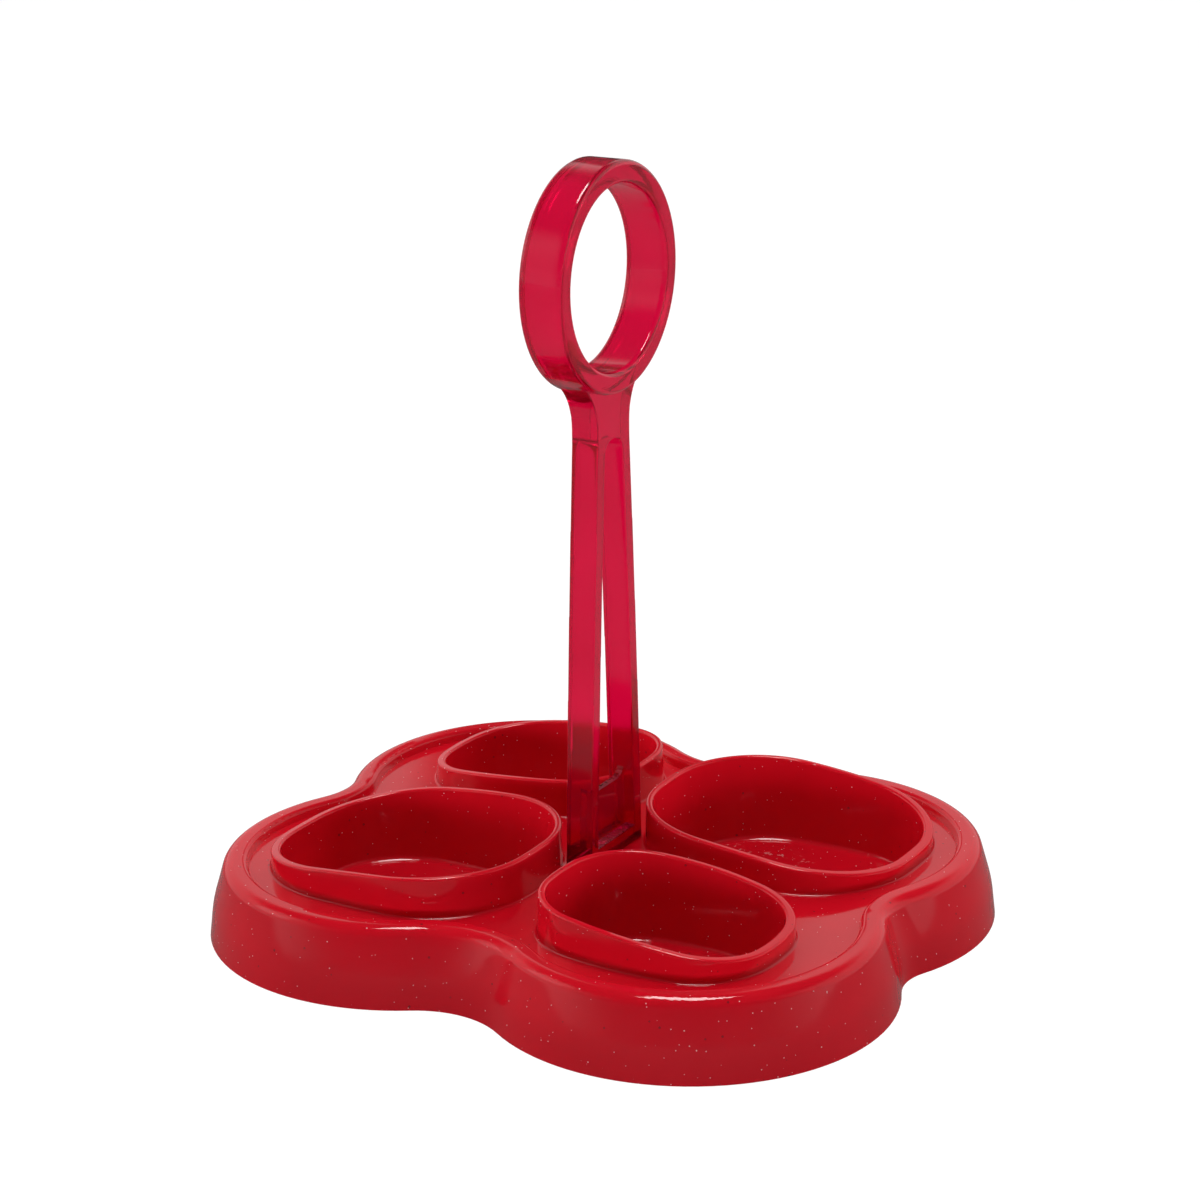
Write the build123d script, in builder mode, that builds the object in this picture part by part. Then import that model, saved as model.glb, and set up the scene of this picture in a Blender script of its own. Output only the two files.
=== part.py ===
"""Table condiment caddy: a moulded four-pocket base and an upright handle with a finger ring.

Millimetres. The origin is on the table under the middle of the base, +Z is up and +X runs
along the width of the handle. The base looks the same after half a turn about Z.
"""
from build123d import *
import math
import os

os.makedirs("parts", exist_ok=True)

# Base: middles of the four equal lobes, and the hollow fillets between them
lobe_x = 30.9
lobe_y = 43.0
side_notch_radius = 24.5
end_notch_radius = 15.6

# Base: skirt in two slopes with a soft bend, raised shoulder and sunk deck
skirt_lower_slope = 7.0
skirt_upper_slope = 16.5
skirt_bend = 8.8
skirt_bend_round = 30.0
deck_height = 18.6
shoulder_rise = 2.6
shoulder_round = 3.5
shoulder_inset = 10.5
shoulder_lip_round = 1.4
deck_step_run = 0.8
deck_land = 7.4
shell_wall = 2.0

# Pockets: plan of the inside edge of each rim, from its near sides, and how far its sides belly out
big_near_x = -1.1
big_near_y = 4.2
big_half_x = 32.4
big_half_y = 36.7
big_belly_x = 3.0
big_belly_y = 3.0
big_corner = 27.6
small_near_x = 15.4
small_near_y = 10.5
small_half_x = 24.3
small_half_y = 30.8
small_belly_x = 5.8
small_belly_y = 6.0
small_corner = 18.9

# Pockets: section through a wall, and the barrel that all four rims lie on
rim_least_stand = 3.75
rim_barrel_radius = 420.0
rim_wall = 1.8
rim_round = 0.7
wall_foot_step = 0.4
wall_foot_round = 0.8
pocket_floor = 5.0
pocket_floor_inset = 2.5
pocket_floor_round = 1.6
cup_wall = 2.0

# Handle: ring
ring_radius = 30.4
ring_hole_radius = 24.4
ring_thickness = 12.8
ring_step_flat = 0.9

# Handle: blade with its neck and two legs
blade_thickness = 8.0
blade_foot_half = 14.0
blade_neck_half = 8.4
blade_belly = 0.45
leg_length = 116.8
neck_straight = 4.1
neck_blend = 40.0
flare_radius = 16.0
blade_round = 0.4

# Handle: slot between the legs, web and foot block
leg_width = 4.1
slot_overrun = 0.7
slot_top_flat = 0.2
slot_corner = 4.5
web_height = 14.4
web_thickness = 2.0
web_overlap = 0.5
foot_block_height = 5.1

# Handle tongue, and the socket under the deck that takes it
tongue_half_width = 11.0
tongue_thickness = 5.0
tongue_length = 11.5
tongue_tip = 0.8
socket_clearance = 0.15
socket_wall = 1.8
socket_spare = 1.5

# Middles of the pockets, and the radius of the lobes from the far side of a big pocket
big_x = big_near_x + big_half_x
big_y = big_near_y + big_half_y
small_x = small_near_x + small_half_x
small_y = small_near_y + small_half_y
big_wall_y = big_y + big_half_y + rim_wall + wall_foot_step
small_wall_y = small_y + small_half_y + rim_wall + wall_foot_step
lobe_radius = big_wall_y - lobe_y + deck_land + deck_step_run + shoulder_inset


def lobed_outline(inset):
    """Outline of the base, drawn this far inside the line where the skirt meets the table."""
    lobe = lobe_radius - inset
    side_gap = lobe_radius + side_notch_radius
    end_gap = lobe_radius + end_notch_radius
    side_reach = math.sqrt(side_gap**2 - lobe_y**2)
    end_reach = math.sqrt(end_gap**2 - lobe_x**2)
    side_touch_x = lobe_x + side_reach * lobe / side_gap
    side_touch_y = lobe_y - lobe_y * lobe / side_gap
    end_touch_x = lobe_x - lobe_x * lobe / end_gap
    end_touch_y = lobe_y + end_reach * lobe / end_gap
    side_waist = lobe_x + side_reach - side_notch_radius - inset
    end_waist = lobe_y + end_reach - end_notch_radius - inset
    lobe_tip = lobe * math.sqrt(0.5)
    with BuildSketch(mode=Mode.PRIVATE) as outline:
        with BuildLine():
            for x, y in ((1, 1), (-1, 1), (-1, -1), (1, -1)):
                tip = (x * (lobe_x + lobe_tip), y * (lobe_y + lobe_tip))
                ThreePointArc((x * side_touch_x, y * side_touch_y), tip, (x * end_touch_x, y * end_touch_y))
            for side in (1, -1):
                end_points = (end_touch_x, side * end_touch_y), (-end_touch_x, side * end_touch_y)
                side_points = (side * side_touch_x, side_touch_y), (side * side_touch_x, -side_touch_y)
                ThreePointArc(end_points[0], (0, side * end_waist), end_points[1])
                ThreePointArc(side_points[0], (side * side_waist, 0), side_points[1])
        make_face()
    return outline.sketch


def pocket_outline(half_x, half_y, belly_x, belly_y, corner, growth):
    """Plan of a pocket about its own middle: a rectangle with bellied sides and round corners."""
    radius_x = (half_y**2 + belly_x**2) / (2 * belly_x)
    radius_y = (half_x**2 + belly_y**2) / (2 * belly_y)
    with BuildSketch(mode=Mode.PRIVATE) as outline:
        with Locations(Location((half_x - radius_x, 0), 180)):
            Circle(radius_x + growth)
        with Locations((radius_x - half_x, 0)):
            Circle(radius_x + growth, mode=Mode.INTERSECT)
        for centre_y in (half_y - radius_y, radius_y - half_y):
            with Locations((0, centre_y)):
                Circle(radius_y + growth, mode=Mode.INTERSECT)
        fillet(outline.vertices(), corner + growth)
    return outline.sketch


def skirt_inset(height):
    """How far the skirt has leaned in at this height."""
    lower_run = math.tan(math.radians(skirt_lower_slope))
    upper_run = math.tan(math.radians(skirt_upper_slope))
    return min(height, skirt_bend) * lower_run + max(height - skirt_bend, 0) * upper_run


def inner_growth(height):
    """How far the inside of a pocket lies outside its rim line at this height, less than 0 below the rim."""
    return -pocket_floor_inset * (rim_height - height) / (rim_height - pocket_floor)


big_plan = (big_half_x, big_half_y, big_belly_x, big_belly_y, big_corner)
small_plan = (small_half_x, small_half_y, small_belly_x, small_belly_y, small_corner)
pockets = [
    (big_x, -big_y, big_plan),
    (-big_x, big_y, big_plan),
    (-small_x, -small_y, small_plan),
    (small_x, small_y, small_plan),
]
shoulder_height = deck_height + shoulder_rise
rim_half = max(big_wall_y, small_wall_y)
rim_drop = rim_barrel_radius - math.sqrt(rim_barrel_radius**2 - rim_half**2)
rim_low = deck_height + rim_least_stand
rim_height = rim_low + rim_drop
rim_top = rim_height + 1
cup_bottom = pocket_floor - cup_wall
deck_underside = deck_height - shell_wall
skirt_wall = shell_wall / math.cos(math.radians(skirt_upper_slope))
socket_length = tongue_length + socket_spare
socket_half_x = tongue_half_width + socket_clearance
socket_half_y = tongue_thickness / 2 + socket_clearance
socket_end = deck_height - socket_length

with BuildPart() as pocket_walls:
    # Walls above the deck and cups below it
    for x, y, plan in pockets:
        with BuildSketch(Plane((x, y, deck_underside))):
            add(pocket_outline(*plan, rim_wall + wall_foot_step))
        with BuildSketch(Plane((x, y, rim_top))):
            add(pocket_outline(*plan, rim_wall))
        loft(ruled=True)
        with BuildSketch(Plane((x, y, cup_bottom))):
            add(pocket_outline(*plan, inner_growth(cup_bottom) + cup_wall))
        with BuildSketch(Plane((x, y, deck_height))):
            add(pocket_outline(*plan, inner_growth(deck_height) + cup_wall))
        loft(ruled=True)

    # All four rims are cut to one barrel, highest along the X axis
    with BuildSketch(Plane.YZ):
        with BuildLine():
            Line((-rim_half, rim_low), (-rim_half, 2 * rim_height))
            Line((-rim_half, 2 * rim_height), (rim_half, 2 * rim_height))
            Line((rim_half, 2 * rim_height), (rim_half, rim_low))
            ThreePointArc((rim_half, rim_low), (0, rim_height), (-rim_half, rim_low))
        make_face()
    extrude(amount=lobe_x + lobe_radius, both=True, mode=Mode.SUBTRACT)

with BuildPart() as base:
    # Skirt with its soft bend and rounded shoulder
    for height in (0, skirt_bend, shoulder_height):
        with BuildSketch(Plane.XY.offset(height)):
            add(lobed_outline(skirt_inset(height)))
    loft(ruled=True)
    fillet(base.faces().sort_by(Axis.Z)[-1].edges(), shoulder_round)
    fillet(base.edges().filter_by(lambda edge: abs(edge.center().Z - skirt_bend) < 0.01), skirt_bend_round)

    # Hollow under the deck
    for height in (0, skirt_bend, deck_underside):
        with BuildSketch(Plane.XY.offset(height)):
            add(lobed_outline(skirt_inset(height) + skirt_wall))
    loft(ruled=True, mode=Mode.SUBTRACT)

    # Sunk deck inside the shoulder
    with BuildSketch(Plane.XY.offset(deck_height)):
        add(lobed_outline(shoulder_inset + deck_step_run))
    with BuildSketch(Plane.XY.offset(shoulder_height)):
        add(lobed_outline(shoulder_inset))
    loft(ruled=True, mode=Mode.SUBTRACT)
    fillet(base.faces().sort_by(Axis.Z)[-1].inner_wires()[0].edges(), shoulder_lip_round)

    # Pocket walls, then the inside of each pocket
    add(pocket_walls.part)
    for x, y, plan in pockets:
        with BuildSketch(Plane((x, y, pocket_floor))):
            add(pocket_outline(*plan, inner_growth(pocket_floor)))
        with BuildSketch(Plane((x, y, rim_top))):
            add(pocket_outline(*plan, inner_growth(rim_top)))
        loft(ruled=True, mode=Mode.SUBTRACT)
    cylinders = base.faces().filter_by(GeomType.CYLINDER)
    rims = cylinders.filter_by(lambda face: abs(face.radius - rim_barrel_radius) < 0.01)
    fillet(rims.edges(), rim_round)
    flats = base.faces().filter_by(GeomType.PLANE)
    floors = flats.filter_by(lambda face: abs(face.center().Z - pocket_floor) < 0.01)
    fillet(floors.edges(), pocket_floor_round)
    flats = base.faces().filter_by(GeomType.PLANE)
    deck = flats.filter_by(lambda face: abs(face.center().Z - deck_height) < 0.01)[0]
    fillet([edge for wire in deck.inner_wires() for edge in wire.edges()], wall_foot_round)

    # Socket for the handle's tongue, open at both ends
    with BuildSketch(Plane.XY.offset(socket_end)):
        Rectangle(2 * (socket_half_x + socket_wall), 2 * (socket_half_y + socket_wall))
    extrude(amount=deck_underside + shell_wall / 2 - socket_end)
    with BuildSketch(Plane.XY.offset(socket_end)):
        Rectangle(2 * socket_half_x, 2 * socket_half_y)
    extrude(amount=socket_length, mode=Mode.SUBTRACT)

base.part.label = "base"
export_step(base.part, "parts/base.step")


def between_sides(low, high, foot_half, middle_half, neck_half):
    """Face between two gently bellied sides that mirror each other across X = 0."""
    with BuildSketch(mode=Mode.PRIVATE) as region:
        with BuildLine():
            Line((-foot_half, low), (foot_half, low))
            ThreePointArc((foot_half, low), (middle_half, blade_middle), (neck_half, high))
            Line((neck_half, high), (-neck_half, high))
            ThreePointArc((-neck_half, high), (-middle_half, blade_middle), (-foot_half, low))
        make_face()
    return region.sketch


def between_legs(overlap):
    """Face between the legs, from the top of the foot block up, and this far into each leg."""
    foot_half = blade_foot_half - leg_width + overlap
    middle_half = blade_middle_half - leg_width + overlap
    neck_half = blade_neck_half - leg_width + overlap
    return between_sides(foot_top, slot_top, foot_half, middle_half, neck_half)


def web_outline():
    """Web between the legs, hollowed at the top by the round lower corners of the slot."""
    with BuildSketch(mode=Mode.PRIVATE) as opening:
        add(between_legs(web_overlap))
        with Locations((0, (foot_top + slot_bottom) / 2)):
            Rectangle(2 * blade_foot_half, slot_bottom - foot_top, mode=Mode.SUBTRACT)
        fillet(opening.vertices().sort_by(Axis.Y)[:2], slot_corner)
    with BuildSketch(mode=Mode.PRIVATE) as web:
        add(between_legs(web_overlap))
        add(opening.sketch, mode=Mode.SUBTRACT)
    return web.sketch


neck_height = deck_height + leg_length
flare_rise = math.sqrt((ring_radius + flare_radius) ** 2 - (blade_neck_half + flare_radius) ** 2)
ring_centre = neck_height + neck_straight + flare_rise
blade_middle = (deck_height + neck_height) / 2
blade_middle_half = (blade_foot_half + blade_neck_half) / 2 + blade_belly
ring_round = (ring_thickness - blade_thickness) / 2 - ring_step_flat
foot_top = deck_height + foot_block_height
slot_top = neck_height + slot_overrun
slot_top_round = blade_neck_half - leg_width - slot_top_flat
slot_bottom = foot_top + web_height

with BuildPart() as handle:
    # Blade: two legs and the neck, widening into the ring
    with BuildSketch(Plane.XZ) as blade:
        add(between_sides(deck_height, neck_height, blade_foot_half, blade_middle_half, blade_neck_half))
        with Locations((0, (neck_height + ring_centre) / 2)):
            Rectangle(2 * blade_neck_half, ring_centre - neck_height)
        with Locations((0, ring_centre)):
            Circle(ring_radius)
        neck_corners = blade.vertices().filter_by(lambda corner: abs(abs(corner.X) - blade_neck_half) < 0.01)
        fillet(neck_corners.sort_by(Axis.Y)[-2:], flare_radius)
        fillet(neck_corners.sort_by(Axis.Y)[:2], neck_blend)
    extrude(amount=blade_thickness / 2, both=True)
    fillet(handle.faces().filter_by(Axis.Y).edges(), blade_round)

    # Slot between the legs, and the web that closes its lower end
    with BuildSketch(Plane.XZ) as slot:
        add(between_legs(0))
        fillet(slot.vertices().sort_by(Axis.Y)[-2:], slot_top_round)
    extrude(amount=blade_thickness, both=True, mode=Mode.SUBTRACT)
    slot_wires = [wire for face in handle.faces().filter_by(Axis.Y) for wire in face.inner_wires()]
    fillet([edge for wire in slot_wires for edge in wire.edges()], blade_round)
    with BuildSketch(Plane.XZ):
        add(web_outline())
    extrude(amount=web_thickness / 2, both=True)

    # Finger ring, thicker than the blade
    with BuildSketch(Plane.XZ):
        with Locations((0, ring_centre)):
            Circle(ring_radius)
    extrude(amount=ring_thickness / 2, both=True)
    with BuildSketch(Plane.XZ):
        with Locations((0, ring_centre)):
            Circle(ring_hole_radius)
    extrude(amount=ring_thickness, both=True, mode=Mode.SUBTRACT)
    ring_faces = handle.faces().filter_by(Axis.Y).group_by(Axis.Y)
    fillet(ring_faces[0].edges() + ring_faces[-1].edges(), ring_round)

    # Tongue under the foot block, with a bevelled tip
    with BuildSketch(Plane.XY.offset(deck_height - tongue_length)):
        Rectangle(2 * tongue_half_width, tongue_thickness)
    extrude(amount=tongue_length)
    chamfer(handle.faces().sort_by(Axis.Z)[0].edges(), tongue_tip)

handle.part.label = "handle"
export_step(handle.part, "parts/handle.step")

for piece in (base.part, handle.part):
    box = piece.bounding_box()
    print(piece.label, box.min, box.max, round(piece.volume), piece.is_valid, len(piece.solids()))
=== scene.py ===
# %% [markdown]
# # A table condiment caddy in two mouldings
# The real object is a low red tray with four open pockets and an upright handle of clear
# crimson plastic that ends in a finger ring. Both are single mouldings, so their shapes come
# from the solid model. This lesson gives them clean shading, the right plastics, a table to
# stand on and soft studio light.

# %% Load the solid model
import math

import bpy
from mathutils import Matrix, Vector


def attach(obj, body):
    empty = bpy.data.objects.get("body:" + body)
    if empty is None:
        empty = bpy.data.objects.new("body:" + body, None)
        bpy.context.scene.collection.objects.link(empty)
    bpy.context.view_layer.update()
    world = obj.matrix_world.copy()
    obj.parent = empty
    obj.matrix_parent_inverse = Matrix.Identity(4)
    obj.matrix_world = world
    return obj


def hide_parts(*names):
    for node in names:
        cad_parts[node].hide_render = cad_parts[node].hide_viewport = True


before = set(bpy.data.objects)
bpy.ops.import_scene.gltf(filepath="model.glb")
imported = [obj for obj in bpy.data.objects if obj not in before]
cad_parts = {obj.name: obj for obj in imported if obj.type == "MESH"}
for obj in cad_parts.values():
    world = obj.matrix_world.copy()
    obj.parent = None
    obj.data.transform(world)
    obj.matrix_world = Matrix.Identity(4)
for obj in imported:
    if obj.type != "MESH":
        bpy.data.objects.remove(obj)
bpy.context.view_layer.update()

MM = 0.001


# %% [markdown]
# ## Camera
# The photograph was taken from about four caddy lengths away and a little above the rims, so
# the near lobes look larger than the far ones. The camera is placed by its distance and its two
# angles, and turned with a matrix, because its slight roll can't be had by pointing it at a
# target.

# %% Camera
camera_azimuth = math.radians(-149.77)
camera_elevation = math.radians(17.95)
camera_roll = math.radians(-0.5)
camera_distance = 783 * MM
aim_height = 90.5 * MM
focal_pixels = 2927
picture_pixels = 1200
axis_pixel_x = 602.3
axis_pixel_y = 602.1


def place_camera():
    """Make the camera at the photograph's distance and angles."""
    flat = math.cos(camera_elevation)
    back_x = flat * math.cos(camera_azimuth)
    back_y = flat * math.sin(camera_azimuth)
    back = Vector((back_x, back_y, math.sin(camera_elevation)))
    level_right = Vector((0, 0, 1)).cross(back).normalized()
    level_up = back.cross(level_right)
    right = level_right * math.cos(camera_roll) + level_up * math.sin(camera_roll)
    up = level_up * math.cos(camera_roll) - level_right * math.sin(camera_roll)
    eye = back * camera_distance + Vector((0, 0, aim_height))
    data = bpy.data.cameras.new("photo_camera")
    data.sensor_width = 36
    data.sensor_fit = "HORIZONTAL"
    data.lens = focal_pixels / picture_pixels * data.sensor_width
    data.shift_x = (picture_pixels / 2 - axis_pixel_x) / picture_pixels
    data.shift_y = (axis_pixel_y - picture_pixels / 2) / picture_pixels
    data.clip_start = 10 * MM
    data.clip_end = 50
    camera = bpy.data.objects.new("photo_camera", data)
    axes = Matrix((right, up, back)).transposed()
    camera.matrix_world = Matrix.Translation(eye) @ axes.to_4x4()
    bpy.context.scene.collection.objects.link(camera)
    bpy.context.scene.camera = camera
    return camera


camera = place_camera()
print("camera at", [round(v, 3) for v in camera.matrix_world.translation])
print("lens", round(camera.data.lens, 1))


# %% [markdown]
# ## Clean skins for the mouldings
# The solid model arrives as loose triangles, and polished plastic shows every one of them. A
# small Geometry Nodes tree welds the corners together, shades the faces smooth and keeps the
# edges sharp that turn by more than a set angle. One tree serves both mouldings. Weighted
# normals then let the large faces rule, so that a flat deck still looks flat beside its fillet.

# %% Tree that cleans a moulding
def skin_tree():
    """Geometry Nodes that weld a moulding and mark its sharp edges."""
    tree = bpy.data.node_groups.new("moulding_skin", "GeometryNodeTree")
    sockets = tree.interface
    sockets.new_socket("Moulding", in_out="INPUT", socket_type="NodeSocketGeometry")
    sockets.new_socket("Weld distance", in_out="INPUT", socket_type="NodeSocketFloat")
    sockets.new_socket("Sharp above", in_out="INPUT", socket_type="NodeSocketFloat")
    sockets.new_socket("Plastic", in_out="INPUT", socket_type="NodeSocketMaterial")
    sockets.new_socket("Skin", in_out="OUTPUT", socket_type="NodeSocketGeometry")
    node = tree.nodes.new
    link = tree.links.new
    start = node("NodeGroupInput")
    weld = node("GeometryNodeMergeByDistance")
    smooth = node("GeometryNodeSetShadeSmooth")
    smooth.domain = "FACE"
    angle = node("GeometryNodeInputMeshEdgeAngle")
    steep = node("FunctionNodeCompare")
    steep.data_type = "FLOAT"
    steep.operation = "GREATER_THAN"
    crease = node("GeometryNodeSetShadeSmooth")
    crease.domain = "EDGE"
    crease.inputs["Shade Smooth"].default_value = False
    real = node("GeometryNodeRealizeInstances")
    paint = node("GeometryNodeSetMaterial")
    end = node("NodeGroupOutput")
    link(start.outputs["Moulding"], weld.inputs["Geometry"])
    link(start.outputs["Weld distance"], weld.inputs["Distance"])
    link(weld.outputs["Geometry"], smooth.inputs["Geometry"])
    link(smooth.outputs["Geometry"], crease.inputs["Geometry"])
    link(angle.outputs["Unsigned Angle"], steep.inputs["A"])
    link(start.outputs["Sharp above"], steep.inputs["B"])
    link(steep.outputs["Result"], crease.inputs["Selection"])
    link(crease.outputs["Geometry"], real.inputs["Geometry"])
    link(real.outputs["Geometry"], paint.inputs["Geometry"])
    link(start.outputs["Plastic"], paint.inputs["Material"])
    link(paint.outputs["Geometry"], end.inputs["Skin"])
    return tree


def set_input(modifier, name, value):
    """Set one named input of a Geometry Nodes modifier by its socket's identifier."""
    for item in modifier.node_group.interface.items_tree:
        if item.name == name and item.in_out == "INPUT":
            modifier[item.identifier] = value
            return
    raise KeyError(name)


moulding_skin = skin_tree()
print("skin tree has", len(moulding_skin.nodes), "nodes")


# %% [markdown]
# ## Shader maths in plain expressions
# Plastics need masks: where a speck lies, where a floor is scuffed. Written as node links they
# are hard to read, so a small class wraps a socket and lets Python's own operators add the
# Math nodes.

# %% Socket wrapper
class Wire:
    """A shader socket that can be added, multiplied and compared like a number."""

    def __init__(self, paint, socket):
        self.paint = paint
        self.socket = socket

    def math(self, operation, *others):
        return self.paint.node("ShaderNodeMath", {"operation": operation}, [self, *others]).out()

    def __add__(self, other):
        return self.math("ADD", other)

    __radd__ = __add__

    def __mul__(self, other):
        return self.math("MULTIPLY", other)

    __rmul__ = __mul__

    def __rsub__(self, other):
        return self.paint.node("ShaderNodeMath", {"operation": "SUBTRACT"}, [other, self]).out()

    def __lt__(self, other):
        return self.math("LESS_THAN", other)

    def __gt__(self, other):
        return self.math("GREATER_THAN", other)

    def ramp(self, low, high):
        """0 at low, 1 at high, smooth between."""
        settings = {"interpolation_type": "SMOOTHSTEP"}
        values = {"Value": self, "From Min": low, "From Max": high}
        return self.paint.node("ShaderNodeMapRange", settings, values).out("Result")


class NodeWires:
    """One node and its outputs."""

    def __init__(self, paint, node):
        self.paint = paint
        self.node = node

    def out(self, name=0):
        return Wire(self.paint, self.node.outputs[name])


class Paint:
    """A material or world under construction."""

    def __init__(self, owner):
        owner.use_nodes = True
        self.tree = owner.node_tree
        self.tree.nodes.clear()

    def node(self, kind, settings=None, values=None):
        """Add a node, then its settings, then the values or wires of its sockets."""
        made = self.tree.nodes.new(kind)
        for name, value in (settings or {}).items():
            setattr(made, name, value)
        pairs = enumerate(values) if isinstance(values, list) else (values or {}).items()
        for name, value in pairs:
            if isinstance(value, Wire):
                self.tree.links.new(value.socket, made.inputs[name])
            else:
                made.inputs[name].default_value = value
        return NodeWires(self, made)

    def mix(self, amount, first, second):
        """Blend two colours, through the sockets that a Mix node keeps for colours."""
        made = self.tree.nodes.new("ShaderNodeMix")
        made.data_type = "RGBA"
        by_name = {socket.identifier: socket for socket in made.inputs}
        for name, value in (("Factor_Float", amount), ("A_Color", first), ("B_Color", second)):
            if isinstance(value, Wire):
                self.tree.links.new(value.socket, by_name[name])
            else:
                by_name[name].default_value = value
        outputs = {socket.identifier: socket for socket in made.outputs}
        return Wire(self, outputs["Result_Color"])

    def place(self):
        """Object coordinates, which are metres in the model's own frame."""
        return self.node("ShaderNodeTexCoord").out("Object")

    def height(self, where):
        """Height of a place above the table."""
        return self.node("ShaderNodeSeparateXYZ", {}, [where]).out("Z")

    def upright(self):
        """1 on faces that look up, 0 on walls, -1 on faces that look down."""
        outward = self.node("ShaderNodeTexCoord").out("Normal")
        return self.node("ShaderNodeSeparateXYZ", {}, [outward]).out("Z")

    def noise(self, where, scale, detail=2.0, rough=0.5):
        """Noise from 0 to 1; scale is how many blotches lie in a metre."""
        values = {"Vector": where, "Scale": scale, "Detail": detail, "Roughness": rough}
        return self.node("ShaderNodeTexNoise", {}, values).out("Fac")

    def bump(self, strength, distance, relief):
        """Normal that shows a fine relief."""
        values = {"Strength": strength, "Distance": distance, "Height": relief}
        return self.node("ShaderNodeBump", {}, values).out("Normal")

    def ray_masks(self):
        """What the camera sees, straight or through clear plastic, and what the plastic mirrors."""
        rays = self.node("ShaderNodeLightPath")
        seen = rays.out("Is Camera Ray") + rays.out("Is Transmission Ray")
        return seen, rays.out("Is Glossy Ray")


# %% [markdown]
# ## Speckled red plastic
# The tray is a hard, glossy red with fine pale specks moulded into it and a few dark ones. A
# speck is a small ball inside the plastic that the surface happens to cut, so a Voronoi pattern
# in three dimensions gives specks of many sizes, on any face and without stretching. Pots slid
# about in the pockets have left pale scuffs on their floors.

# %% Speckled red plastic
deep_red = (0.59, 0.0036, 0.0135, 1)
light_red = (0.65, 0.0044, 0.0155, 1)
dark_speck_colour = (0.09, 0.012, 0.014, 1)
pale_speck_colour = (0.86, 0.62, 0.62, 1)
scuff_colour = (0.80, 0.60, 0.60, 1)
dark_speck_cell = 3.4 * MM
pale_speck_cell = 1.6 * MM
speck_size = 0.11
speck_share = 0.5
pocket_floor = 5.0 * MM
red_ior = 1.52


def specks(paint, where, cell, shift):
    """Mask of round specks in a share of the cells, each up to the speck size of its cell."""
    moved = paint.node("ShaderNodeVectorMath", {"operation": "ADD"}, [where, (shift, shift, shift)])
    values = {"Vector": moved.out("Vector"), "Scale": 1 / cell, "Randomness": 1.0}
    cells = paint.node("ShaderNodeTexVoronoi", {"feature": "F1"}, values)
    luck = paint.node("ShaderNodeSeparateXYZ", {}, [cells.out("Color")])
    radius = speck_size * (0.45 + 0.55 * luck.out("Y"))
    here = cells.out("Distance") < radius
    return here * (luck.out("X") < speck_share)


def speckled_plastic():
    """Glossy red plastic of the tray."""
    material = bpy.data.materials.new("speckled_red_plastic")
    paint = Paint(material)
    where = paint.place()
    height = paint.height(where)
    cloud = paint.noise(where, scale=28.0, detail=3.0)
    red = paint.mix(cloud.ramp(0.3, 0.7), deep_red, light_red)
    dark = specks(paint, where, dark_speck_cell, shift=0.37)
    red = paint.mix(dark * 0.75, red, dark_speck_colour)
    pale = specks(paint, where, pale_speck_cell, shift=0.0)
    red = paint.mix(pale * 0.85, red, pale_speck_colour)
    grain = paint.noise(where, scale=420.0, detail=4.0, rough=0.65)
    patch = paint.noise(where, scale=55.0, detail=2.0)
    low = (height > pocket_floor - 0.2 * MM) * (height < pocket_floor + 1.5 * MM)
    scuff = low * (paint.upright() > 0.3) * grain.ramp(0.56, 0.66) * patch.ramp(0.60, 0.66)
    red = paint.mix(scuff * 0.4, red, scuff_colour)
    wear = paint.noise(where, scale=160.0, detail=3.0, rough=0.6)
    rough = 0.05 + 0.05 * wear + 0.4 * scuff + 0.15 * pale
    waves = paint.noise(where, scale=70.0, detail=1.0)
    relief = paint.bump(0.05, 0.4 * MM, waves + 0.05 * grain)
    values = {"Base Color": red, "Roughness": rough, "Normal": relief, "IOR": red_ior}
    plastic = paint.node("ShaderNodeBsdfPrincipled", {}, values)
    paint.node("ShaderNodeOutputMaterial", {}, {"Surface": plastic.out("BSDF")})
    return material


red_plastic = speckled_plastic()
print("made", red_plastic.name)

# %% [markdown]
# ## Clear crimson plastic
# The handle is see-through and strongly tinted, so light that crosses it comes out crimson and
# its inside faces show as darker and lighter bands. It is a transmitting plastic whose tint is
# its base colour. Faint lines along the handle, and the frosted tops of the web and the foot
# block, break the polish.

# %% Clear crimson plastic
deep_crimson = (0.62, 0.0010, 0.038, 1)
light_crimson = (0.70, 0.0016, 0.048, 1)
frosted_web_top = 38.1 * MM
frosted_foot_top = 23.7 * MM
line_stretch = (1.0, 1.0, 0.12)
crimson_ior = 1.49


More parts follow.
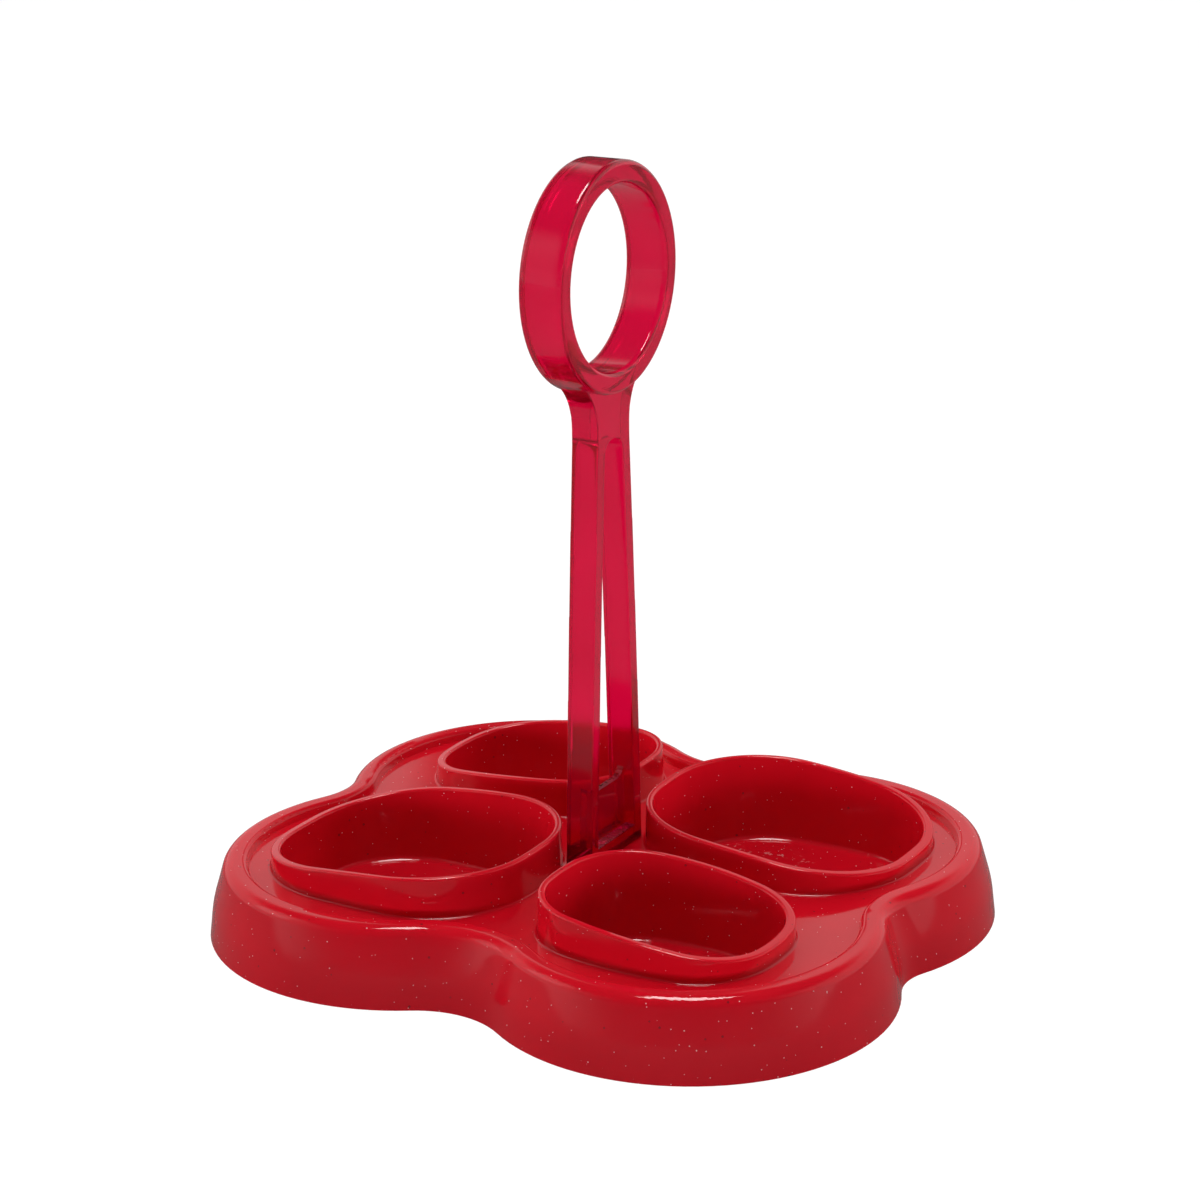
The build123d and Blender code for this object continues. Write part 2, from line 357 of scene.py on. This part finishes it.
def crimson_plastic():
    """See-through crimson plastic of the handle."""
    material = bpy.data.materials.new("clear_crimson_plastic")
    paint = Paint(material)
    where = paint.place()
    height = paint.height(where)
    cloud = paint.noise(where, scale=35.0, detail=2.0)
    tint = paint.mix(cloud.ramp(0.3, 0.7), deep_crimson, light_crimson)
    frost_low = (height > frosted_foot_top - 0.3 * MM) * (height < frosted_foot_top + 0.3 * MM)
    frost_high = (height > frosted_web_top - 0.4 * MM) * (height < frosted_web_top + 1.5 * MM)
    grain = paint.noise(where, scale=500.0, detail=3.0, rough=0.6)
    frost = (frost_low + frost_high) * (paint.upright() > 0.2) * grain.ramp(0.35, 0.6)
    wear = paint.noise(where, scale=120.0, detail=3.0, rough=0.6)
    rough = 0.08 + 0.07 * wear + 0.4 * frost
    stretched = paint.node("ShaderNodeVectorMath", {"operation": "MULTIPLY"}, [where, line_stretch])
    draw_lines = paint.noise(stretched.out("Vector"), scale=300.0, detail=2.0)
    values = {
        "Base Color": tint,
        "Roughness": rough,
        "Normal": paint.bump(0.04, 0.3 * MM, draw_lines + frost),
        "IOR": crimson_ior,
        "Transmission Weight": 0.85,
        "Coat Weight": 0.4,
        "Coat Roughness": 0.03,
    }
    plastic = paint.node("ShaderNodeBsdfPrincipled", {}, values)
    paint.node("ShaderNodeOutputMaterial", {}, {"Surface": plastic.out("BSDF")})
    return material


clear_plastic = crimson_plastic()
print("made", clear_plastic.name)


# %% [markdown]
# ## Dressing the two mouldings
# Each skin is a welded copy of its solid. The copy goes through the tree, comes back as a plain
# mesh and takes the solid's place on the same body, so it still follows the joint.

# %% Skins on their bodies
weld_distance = 0.002 * MM
sharp_angle = math.radians(32)
flat_face_weight = 60


def dress(node_name, skin_name, plastic, body):
    """Make the skin of one moulding and let it stand for the solid."""
    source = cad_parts[node_name]
    skin = bpy.data.objects.new(skin_name, source.data.copy())
    bpy.context.scene.collection.objects.link(skin)
    skin.data.materials.clear()
    modifier = skin.modifiers.new("skin", "NODES")
    modifier.node_group = moulding_skin
    set_input(modifier, "Weld distance", weld_distance)
    set_input(modifier, "Sharp above", sharp_angle)
    set_input(modifier, "Plastic", plastic)
    weighted = skin.modifiers.new("weighted", "WEIGHTED_NORMAL")
    weighted.mode = "FACE_AREA"
    weighted.weight = flat_face_weight
    weighted.keep_sharp = True
    depsgraph = bpy.context.evaluated_depsgraph_get()
    finished = bpy.data.meshes.new_from_object(skin.evaluated_get(depsgraph), depsgraph=depsgraph)
    skin.modifiers.clear()
    skin.data = finished
    finished.name = skin_name
    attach(skin, body)
    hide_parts(node_name)
    print(skin_name, "triangles", sum(len(face.vertices) - 2 for face in finished.polygons))


dress("base", "tray_moulding", red_plastic, "tray")
dress("handle", "handle_moulding", clear_plastic, "carrier")

# %% [markdown]
# ## Table
# The photograph has a white table that runs up into a white background, and hardly any shadow.
# The floor is a pale sheet that glows for the camera and through the clear plastic, which
# carries it to white without more light on the caddy. The caddy still shades it.

# %% White floor
floor_reach = 8.0
floor_grey = (0.16, 0.16, 0.16, 1)
floor_glow = 0.92
floor_mirrored = 0.05
white = (1, 1, 1, 1)


def white_floor():
    """Large pale floor that the camera sees as nearly white."""
    mesh = bpy.data.meshes.new("floor")
    corners = [(-floor_reach, -floor_reach, 0), (floor_reach, -floor_reach, 0)]
    corners += [(floor_reach, floor_reach, 0), (-floor_reach, floor_reach, 0)]
    mesh.from_pydata(corners, [], [(0, 1, 2, 3)])
    floor = bpy.data.objects.new("floor", mesh)
    bpy.context.scene.collection.objects.link(floor)
    material = bpy.data.materials.new("white_sheet")
    paint = Paint(material)
    seen, mirrored = paint.ray_masks()
    shown = (seen + floor_mirrored * mirrored).math("MINIMUM", 1.0)
    diffuse = paint.node("ShaderNodeBsdfDiffuse", {}, {"Color": floor_grey})
    glow = paint.node("ShaderNodeEmission", {}, {"Color": white, "Strength": shown * floor_glow})
    both = paint.node("ShaderNodeAddShader", {}, [diffuse.out(), glow.out()])
    paint.node("ShaderNodeOutputMaterial", {}, {"Surface": both.out()})
    mesh.materials.append(material)


white_floor()
print("floor reaches", floor_reach, "m")

# %% [markdown]
# ## Studio light
# A small lamp overhead draws the thin highlight along the shoulder, and a weak one stands to the
# left. The room itself is plain white to the camera. What the plastic mirrors is a dark room
# with two bright panels, which reach round from the sides and leave a dark gap right behind the
# caddy. Polished plastic needs something dark to mirror, or its red turns pink all over. What
# lights it softly is a low glow from the front and the sides, and a higher one from behind.

# %% Lamps and room
front_glow = 5.2
side_glow = 4.8
back_glow = 2.1
room_glow = 0.07
panel_glow = 0.5
room_mirrored = 0.05


def soft_lamp(name, place, aim, size, power):
    """Area lamp that points at aim."""
    data = bpy.data.lights.new(name, "AREA")
    data.shape = "RECTANGLE"
    data.size = size[0]
    data.size_y = size[1]
    data.energy = power
    lamp = bpy.data.objects.new(name, data)
    away = (Vector(place) - Vector(aim)).normalized()
    turn = away.to_track_quat("Z", "Y").to_matrix().to_4x4()
    lamp.matrix_world = Matrix.Translation(place) @ turn
    bpy.context.scene.collection.objects.link(lamp)


caddy_middle = (0, 0, 60 * MM)
soft_lamp("overhead", (0.0, 0.0, 1.25), caddy_middle, size=(0.45, 0.45), power=7.8)
soft_lamp("left_side", (-0.55, 1.0, 0.75), caddy_middle, size=(0.6, 0.7), power=0.8)


def studio_room():
    """World that is white to the camera, and lights and mirrors as a dark room that glows in places."""
    world = bpy.data.worlds.new("studio_room")
    bpy.context.scene.world = world
    paint = Paint(world)
    seen, mirrored = paint.ray_masks()
    seen = seen.math("MINIMUM", 1.0)
    direction = paint.node("ShaderNodeTexCoord").out("Generated")
    upward = paint.node("ShaderNodeSeparateXYZ", {}, [direction]).out("Z")
    towards = (math.cos(camera_azimuth), math.sin(camera_azimuth), 0)
    rightward = (-math.sin(camera_azimuth), math.cos(camera_azimuth), 0)
    dot = {"operation": "DOT_PRODUCT"}
    facing = paint.node("ShaderNodeVectorMath", dot, [direction, towards]).out("Value")
    sideways = paint.node("ShaderNodeVectorMath", dot, [direction, rightward]).out("Value")
    aside = sideways.math("ABSOLUTE")
    behind = (0 - facing).ramp(-0.2, 0.5)
    low = 1 - upward.ramp(0.03, 0.2)
    front_low = facing.ramp(0.0, 0.8) * low
    side_low = aside.ramp(0.5, 0.9) * low
    back_high = behind * upward.ramp(0.12, 0.3) * (1 - upward.ramp(0.55, 0.8))
    lit = room_glow + front_glow * front_low + side_glow * side_low + back_glow * back_high
    not_in_front = (0 - facing).ramp(-0.75, -0.1)
    panels = not_in_front * aside.ramp(0.055, 0.07) * (1 - upward.ramp(0.5, 0.72))
    shown = room_mirrored + panel_glow * panels
    strength = seen + (1 - seen) * (mirrored * shown + (1 - mirrored) * lit)
    light = paint.node("ShaderNodeBackground", {}, {"Color": white, "Strength": strength})
    paint.node("ShaderNodeOutputWorld", {}, {"Surface": light.out()})


studio_room()
bpy.context.scene.view_settings.view_transform = "Standard"
